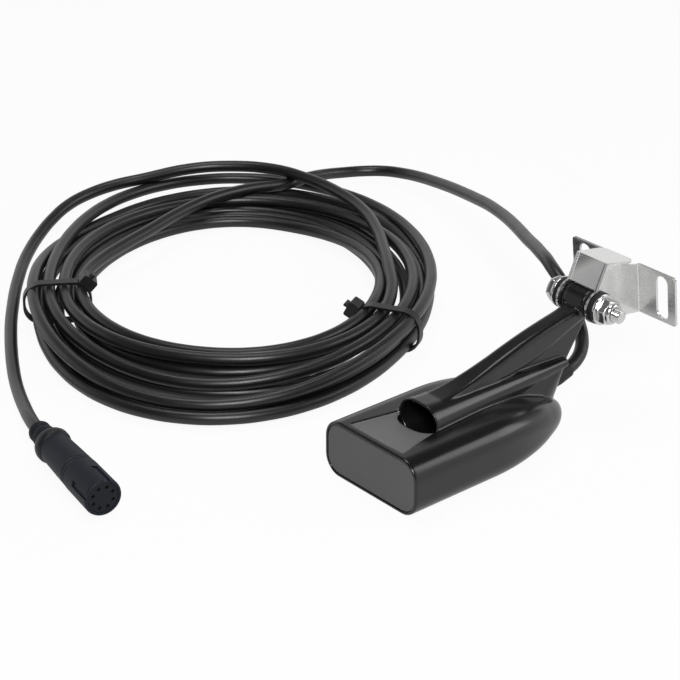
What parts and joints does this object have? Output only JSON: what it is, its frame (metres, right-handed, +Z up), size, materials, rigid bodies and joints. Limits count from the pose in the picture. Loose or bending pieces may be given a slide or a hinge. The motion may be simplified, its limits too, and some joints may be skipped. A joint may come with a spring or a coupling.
{
  "type": "sonar transducer",
  "caption": "Black moulded sonar transducer on a swinging stainless transom bracket, with a coiled lead and a round keyed connector.",
  "frame": {"origin": "on the plane of the flat bottom, below the middle of the body with its bracket", "axes": "+X from the tail to the transom, +Y across the body towards the bolt head, +Z up"},
  "size_m": [0.3268, 0.3435, 0.0685],
  "materials": {
    "housing_plastic": "black moulded plastic with a soft gloss",
    "cap_plastic": "dark grey, fine matte grain",
    "ceramic": "fired ceramic with silvered faces",
    "cork": "pressed cork",
    "foam": "closed-cell foam",
    "sensor_steel": "drawn tube",
    "resin": "cast resin",
    "gland_rubber": "moulded black rubber",
    "ratchet_plastic": "black moulded plastic",
    "stainless_sheet": "bright rolled stainless sheet",
    "fastener_steel": "bright turned stainless",
    "washer_rubber": "black rubber",
    "cable_jacket": "satin black jacket",
    "tie_nylon": "black nylon",
    "boot_rubber": "moulded black rubber",
    "ring_plastic": "black plastic",
    "shell_plastic": "blue-black satin plastic",
    "insert_plastic": "dark grey plastic",
    "contact_metal": "plated sleeves"
  },
  "bodies": {
    "transducer": {"housing": "housing_plastic", "tail_cap": "cap_plastic", "sonar_disc": "ceramic", "disc_backing": "cork", "downscan_bar": "ceramic", "bar_backing": "foam", "temperature_sensor": "sensor_steel", "potting_fill": "resin", "cable_gland": "gland_rubber", "transducer_ratchets": "ratchet_plastic", "cable_lead": "cable_jacket", "cable_coil": "cable_jacket", "cable_tail": "cable_jacket", "cable_tie_left": "tie_nylon", "cable_tie_right": "tie_nylon", "plug_boot": "boot_rubber", "plug_ring": "ring_plastic", "plug_shell": "shell_plastic", "plug_insert": "insert_plastic", "plug_contacts": "contact_metal"},
    "bracket": {"bracket": "stainless_sheet", "bracket_ratchets": "ratchet_plastic", "pivot_bolt": "fastener_steel", "lock_nut": "fastener_steel", "metal_washers": "fastener_steel", "rubber_washers": "washer_rubber"}
  },
  "joints": [
    {"name": "bracket_pivot", "type": "hinge", "parent": "transducer", "child": "bracket", "pos_m": [0.04579, 0, 0.05], "axis": [0, 1, 0], "range_deg": [-60, 15]}
  ]
}
